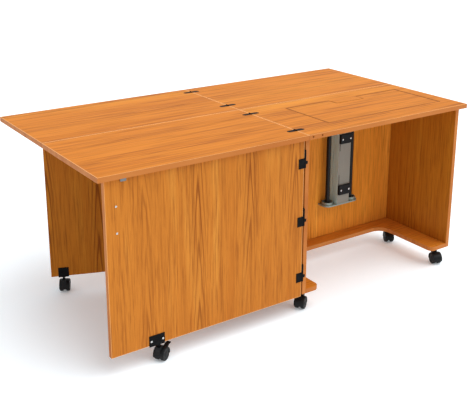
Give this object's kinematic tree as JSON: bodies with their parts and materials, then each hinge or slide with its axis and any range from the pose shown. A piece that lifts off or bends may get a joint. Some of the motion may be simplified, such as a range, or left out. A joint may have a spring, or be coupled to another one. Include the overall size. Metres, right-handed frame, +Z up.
{
  "type": "sewing table",
  "caption": "Fold-away sewing table: leaf top, swing-out door and gateleg, machine platform on a lift column, twin-wheel castors.",
  "frame": {"origin": "on the floor, under the middle of the open top", "axes": "+X along the table to the machine end, +Y from the front to the back, +Z up"},
  "size_m": [1.766, 0.93, 0.7651],
  "materials": {
    "honey_laminate": "satin wood-grain laminate",
    "black_steel": "black enamel",
    "black_plastic": "moulded",
    "castor_tyre": "hard nylon",
    "zinc_plate": "zinc plated",
    "lift_aluminium": "mill-finish extrusion"
  },
  "bodies": {
    "carcass": {"left_side_panel": "honey_laminate", "right_side_panel": "honey_laminate", "rear_panel": "honey_laminate", "base_plate": "honey_laminate", "main_top": "honey_laminate", "lift_column": "lift_aluminium", "column_block_lower": "black_plastic", "column_block_upper": "black_plastic", "guide_rod_left": "black_plastic", "guide_rod_right": "black_plastic", "lift_foot": "zinc_plate", "front_strap_0_right": "black_steel", "front_strap_1_right": "black_steel", "drop_hinge_front": "black_steel", "door_hinge_low_seat": "black_steel", "door_hinge_middle_seat": "black_steel", "door_hinge_high_seat": "black_steel", "gateleg_hinge_low_seat": "black_steel", "gateleg_hinge_high_seat": "black_steel", "front_left_castor_plate": "zinc_plate", "front_right_castor_plate": "zinc_plate", "rear_left_castor_plate": "zinc_plate", "rear_right_castor_plate": "zinc_plate"},
    "front_left_leaf": {"front_left_leaf": "honey_laminate", "front_strap_0_left": "black_steel", "front_strap_1_left": "black_steel"},
    "rear_right_leaf": {"rear_right_leaf": "honey_laminate", "drop_hinge_rear": "black_steel", "rear_strap_0_right": "black_steel", "rear_strap_1_right": "black_steel"},
    "rear_left_leaf": {"rear_left_leaf": "honey_laminate", "rear_strap_0_left": "black_steel", "rear_strap_1_left": "black_steel"},
    "front_door": {"front_door": "honey_laminate", "door_hinge_low_flag": "black_steel", "door_hinge_middle_flag": "black_steel", "door_hinge_high_flag": "black_steel", "door_pull": "zinc_plate", "door_catch": "zinc_plate", "door_castor_bracket": "black_steel"},
    "rear_gateleg": {"rear_gateleg": "honey_laminate", "gateleg_hinge_low_flag": "black_steel", "gateleg_hinge_high_flag": "black_steel", "gateleg_castor_bracket": "black_steel"},
    "lift_carriage": {"lift_platform": "honey_laminate", "lift_carriage": "zinc_plate", "platform_arms": "zinc_plate"},
    "door_castor": {"door_castor_hood": "black_steel", "door_castor_brake": "black_steel"},
    "door_castor_wheels": {"door_castor_wheels": "castor_tyre"},
    "gateleg_castor": {"gateleg_castor_hood": "black_steel"},
    "gateleg_castor_wheels": {"gateleg_castor_wheels": "castor_tyre"},
    "front_left_castor": {"front_left_castor_hood": "black_steel"},
    "front_left_castor_wheels": {"front_left_castor_wheels": "castor_tyre"},
    "front_right_castor": {"front_right_castor_hood": "black_steel"},
    "front_right_castor_wheels": {"front_right_castor_wheels": "castor_tyre"},
    "rear_left_castor": {"rear_left_castor_hood": "black_steel"},
    "rear_left_castor_wheels": {"rear_left_castor_wheels": "castor_tyre"},
    "rear_right_castor": {"rear_right_castor_hood": "black_steel"},
    "rear_right_castor_wheels": {"rear_right_castor_wheels": "castor_tyre"}
  },
  "joints": [
    {"name": "front_door_swing", "type": "hinge", "parent": "carcass", "child": "front_door", "pos_m": [-0.003, -0.4453, 0], "axis": [0, 0, 1], "range_deg": [0, 180]},
    {"name": "rear_gateleg_swing", "type": "hinge", "parent": "carcass", "child": "rear_gateleg", "pos_m": [-0.004, -0.003, 0], "axis": [0, 0, -1], "range_deg": [-20.5, 159.5]},
    {"name": "front_leaf_fold", "type": "hinge", "parent": "carcass", "child": "front_left_leaf", "pos_m": [0, -0.465, 0.7623], "axis": [0, 1, 0], "range_deg": [0, 180]},
    {"name": "rear_leaf_drop", "type": "hinge", "parent": "carcass", "child": "rear_right_leaf", "pos_m": [0, 0.009, 0.74], "axis": [-1, 0, 0], "range_deg": [0, 90]},
    {"name": "rear_leaf_fold", "type": "hinge", "parent": "rear_right_leaf", "child": "rear_left_leaf", "pos_m": [0, 0.465, 0.7623], "axis": [0, 1, 0], "range_deg": [0, 180]},
    {"name": "platform_lift", "type": "slide", "parent": "carcass", "child": "lift_carriage", "axis": [0, 0, -1], "range_m": [0, 0.33]},
    {"name": "door_castor_swivel", "type": "hinge", "parent": "front_door", "child": "door_castor", "pos_m": [-0.659, -0.4355, 0], "axis": [0, 0, 1], "continuous": true},
    {"name": "door_castor_spin", "type": "hinge", "parent": "door_castor", "child": "door_castor_wheels", "pos_m": [-0.64373, -0.42596, 0.025], "axis": [-0.5299, 0.848, 0], "continuous": true},
    {"name": "gateleg_castor_swivel", "type": "hinge", "parent": "rear_gateleg", "child": "gateleg_castor", "pos_m": [-0.72415, 0.27671, 0], "axis": [0, 0, 1], "continuous": true},
    {"name": "gateleg_castor_spin", "type": "hinge", "parent": "gateleg_castor", "child": "gateleg_castor_wheels", "pos_m": [-0.71515, 0.2923, 0.025], "axis": [-0.866, 0.5, 0], "continuous": true},
    {"name": "front_left_castor_swivel", "type": "hinge", "parent": "carcass", "child": "front_left_castor", "pos_m": [0.042, -0.39, 0], "axis": [0, 0, 1], "continuous": true},
    {"name": "front_left_castor_spin", "type": "hinge", "parent": "front_left_castor", "child": "front_left_castor_wheels", "pos_m": [0.02726, -0.40032, 0.025], "axis": [0.5736, -0.8192, 0], "continuous": true},
    {"name": "front_right_castor_swivel", "type": "hinge", "parent": "carcass", "child": "front_right_castor", "pos_m": [0.822, -0.392, 0], "axis": [0, 0, 1], "continuous": true},
    {"name": "front_right_castor_spin", "type": "hinge", "parent": "front_right_castor", "child": "front_right_castor_wheels", "pos_m": [0.81584, -0.40891, 0.025], "axis": [0.9397, -0.342, 0], "continuous": true},
    {"name": "rear_left_castor_swivel", "type": "hinge", "parent": "carcass", "child": "rear_left_castor", "pos_m": [0.042, -0.09, 0], "axis": [0, 0, 1], "continuous": true},
    {"name": "rear_left_castor_spin", "type": "hinge", "parent": "rear_left_castor", "child": "rear_left_castor_wheels", "pos_m": [0.02509, -0.09616, 0.025], "axis": [0.342, -0.9397, 0], "continuous": true},
    {"name": "rear_right_castor_swivel", "type": "hinge", "parent": "carcass", "child": "rear_right_castor", "pos_m": [0.822, -0.09, 0], "axis": [0, 0, 1], "continuous": true},
    {"name": "rear_right_castor_spin", "type": "hinge", "parent": "rear_right_castor", "child": "rear_right_castor_wheels", "pos_m": [0.813, -0.10559, 0.025], "axis": [0.866, -0.5, 0], "continuous": true}
  ],
  "couplings": [
    {"joint": "rear_leaf_fold", "follows": "rear_leaf_drop", "ratio": 2}
  ]
}
